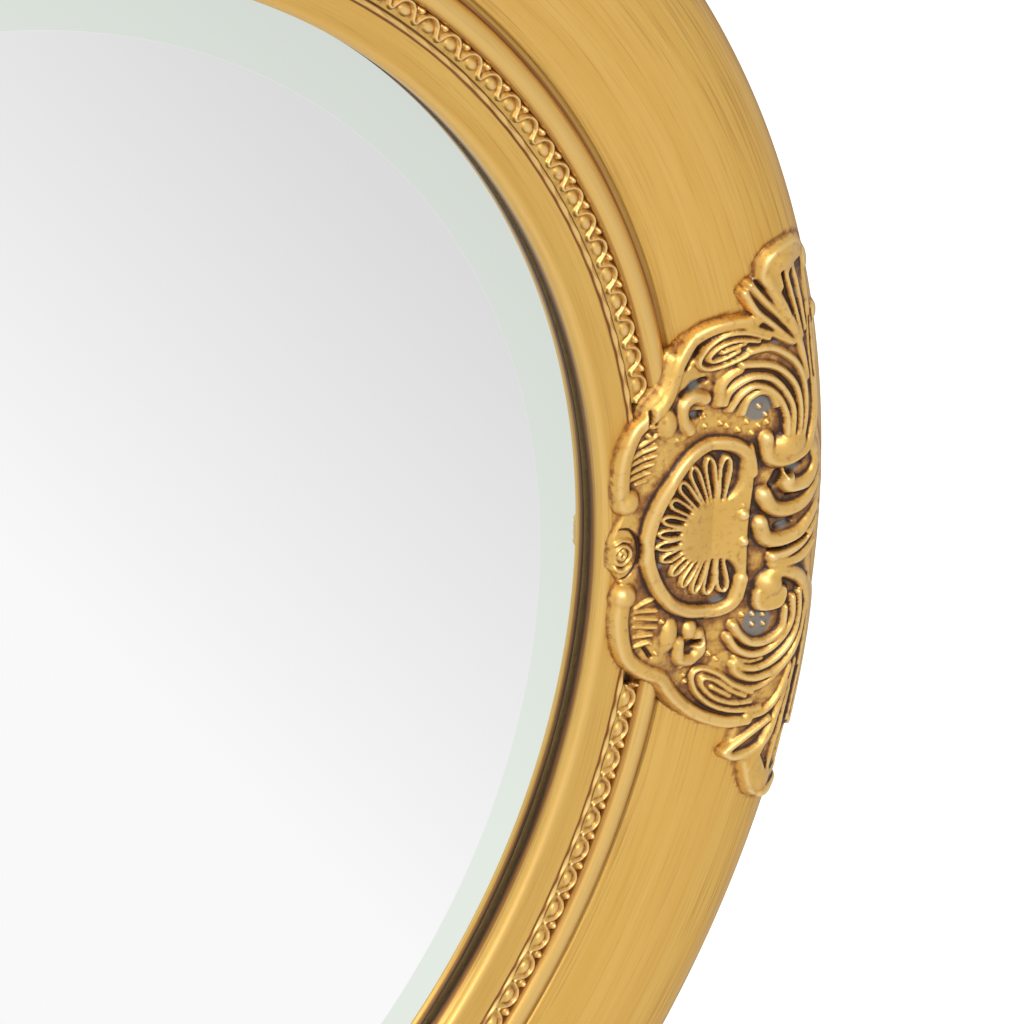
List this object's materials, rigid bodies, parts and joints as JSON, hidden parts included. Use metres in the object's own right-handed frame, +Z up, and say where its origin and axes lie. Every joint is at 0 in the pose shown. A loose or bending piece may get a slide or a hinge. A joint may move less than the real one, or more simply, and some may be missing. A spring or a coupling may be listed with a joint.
{
  "type": "round wall mirror",
  "caption": "Round bevelled wall mirror in a turned antique gold frame with a carved band, applied scroll ornaments and swinging D-ring hangers.",
  "frame": {"origin": "centre of the plane of the wall that the rear rim rests on", "axes": "+Z up, -Y out of the wall towards the viewer, +X to the right as seen from the front"},
  "size_m": [0.5039, 0.0337, 0.504],
  "materials": {
    "gilded_wood": "turned fibreboard with satin gold paint, brushed over with a brown glaze",
    "gilded_resin": "cast grey resin with satin gold paint and a brown glaze in its hollows",
    "silvered_glass": "polished",
    "foam": "matt",
    "fibreboard": "matt",
    "brassed_steel": "satin",
    "zinc_plate": "satin"
  },
  "bodies": {
    "frame": {"outer_ring": "gilded_wood", "inner_ring": "gilded_wood", "bead_strip_1": "gilded_wood", "bead_strip_2": "gilded_wood", "bead_strip_3": "gilded_wood", "bead_strip_4": "gilded_wood", "ornament_right": "gilded_resin", "ornament_top": "gilded_resin", "ornament_left": "gilded_resin", "ornament_bottom": "gilded_resin", "mirror_glass": "silvered_glass", "foam_pad": "foam", "backing_board": "fibreboard", "button_screws": "zinc_plate", "hanger_plate_right": "zinc_plate", "hanger_plate_left": "zinc_plate", "hanger_screws": "zinc_plate"},
    "button_1": {"turn_button_1": "brassed_steel"},
    "button_2": {"turn_button_2": "brassed_steel"},
    "button_3": {"turn_button_3": "brassed_steel"},
    "button_4": {"turn_button_4": "brassed_steel"},
    "button_5": {"turn_button_5": "brassed_steel"},
    "button_6": {"turn_button_6": "brassed_steel"},
    "ring_right": {"hanger_ring_right": "zinc_plate"},
    "ring_left": {"hanger_ring_left": "zinc_plate"}
  },
  "joints": [
    {"name": "button_1_turn", "type": "hinge", "parent": "frame", "child": "button_1", "pos_m": [0.206, -0.0041, 0], "axis": [0, 1, 0], "continuous": true},
    {"name": "button_2_turn", "type": "hinge", "parent": "frame", "child": "button_2", "pos_m": [0.103, -0.0041, 0.1784], "axis": [0, 1, 0], "continuous": true},
    {"name": "button_3_turn", "type": "hinge", "parent": "frame", "child": "button_3", "pos_m": [-0.103, -0.0041, 0.1784], "axis": [0, 1, 0], "continuous": true},
    {"name": "button_4_turn", "type": "hinge", "parent": "frame", "child": "button_4", "pos_m": [-0.206, -0.0041, 0], "axis": [0, 1, 0], "continuous": true},
    {"name": "button_5_turn", "type": "hinge", "parent": "frame", "child": "button_5", "pos_m": [-0.103, -0.0041, -0.1784], "axis": [0, 1, 0], "continuous": true},
    {"name": "button_6_turn", "type": "hinge", "parent": "frame", "child": "button_6", "pos_m": [0.103, -0.0041, -0.1784], "axis": [0, 1, 0], "continuous": true},
    {"name": "ring_right_swing", "type": "hinge", "parent": "frame", "child": "ring_right", "pos_m": [0.1944, -0.0029, 0.09065], "axis": [1, 0, 0], "range_deg": [0, 180]},
    {"name": "ring_left_swing", "type": "hinge", "parent": "frame", "child": "ring_left", "pos_m": [-0.1944, -0.0029, 0.09065], "axis": [1, 0, 0], "range_deg": [0, 180]}
  ]
}
